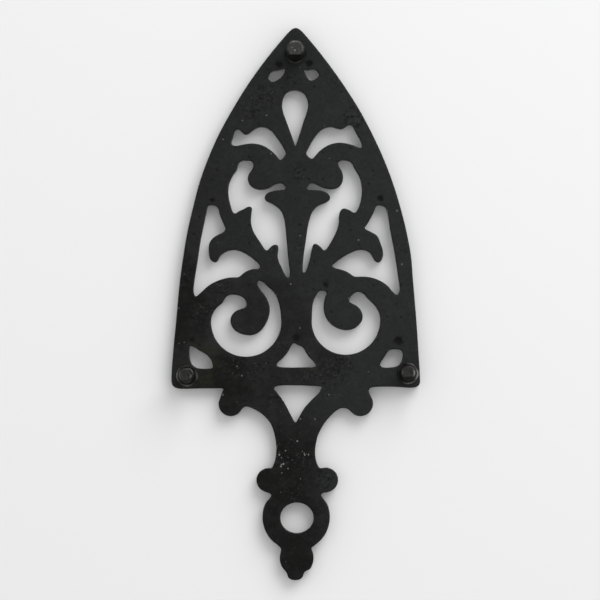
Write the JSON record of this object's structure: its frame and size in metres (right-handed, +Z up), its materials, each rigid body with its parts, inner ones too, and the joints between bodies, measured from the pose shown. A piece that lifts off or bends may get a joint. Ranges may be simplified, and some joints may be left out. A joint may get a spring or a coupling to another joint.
{
  "type": "sad iron trivet",
  "caption": "Flat cast-iron stand shaped like an iron's sole, pierced with leaf scrolls, with a short handle and hanging ring, on short peg feet.",
  "frame": {"origin": "on the ground under the middle of the length and the width, the stand being on its feet", "axes": "+Z up, +Y from the handle's end toward the nose, +X to the right seen from above with the nose away"},
  "size_m": [0.1027, 0.2286, 0.0195],
  "materials": {
    "cast_iron": "black, fine sand-cast grain with worn, slightly lighter patches",
    "worn_iron": "dark grey, ends and edges rubbed lighter"
  },
  "bodies": {
    "root": {"pierced_plate": "cast_iron", "foot_front": "worn_iron", "foot_rear_left": "worn_iron", "foot_rear_right": "worn_iron"}
  },
  "joints": []
}
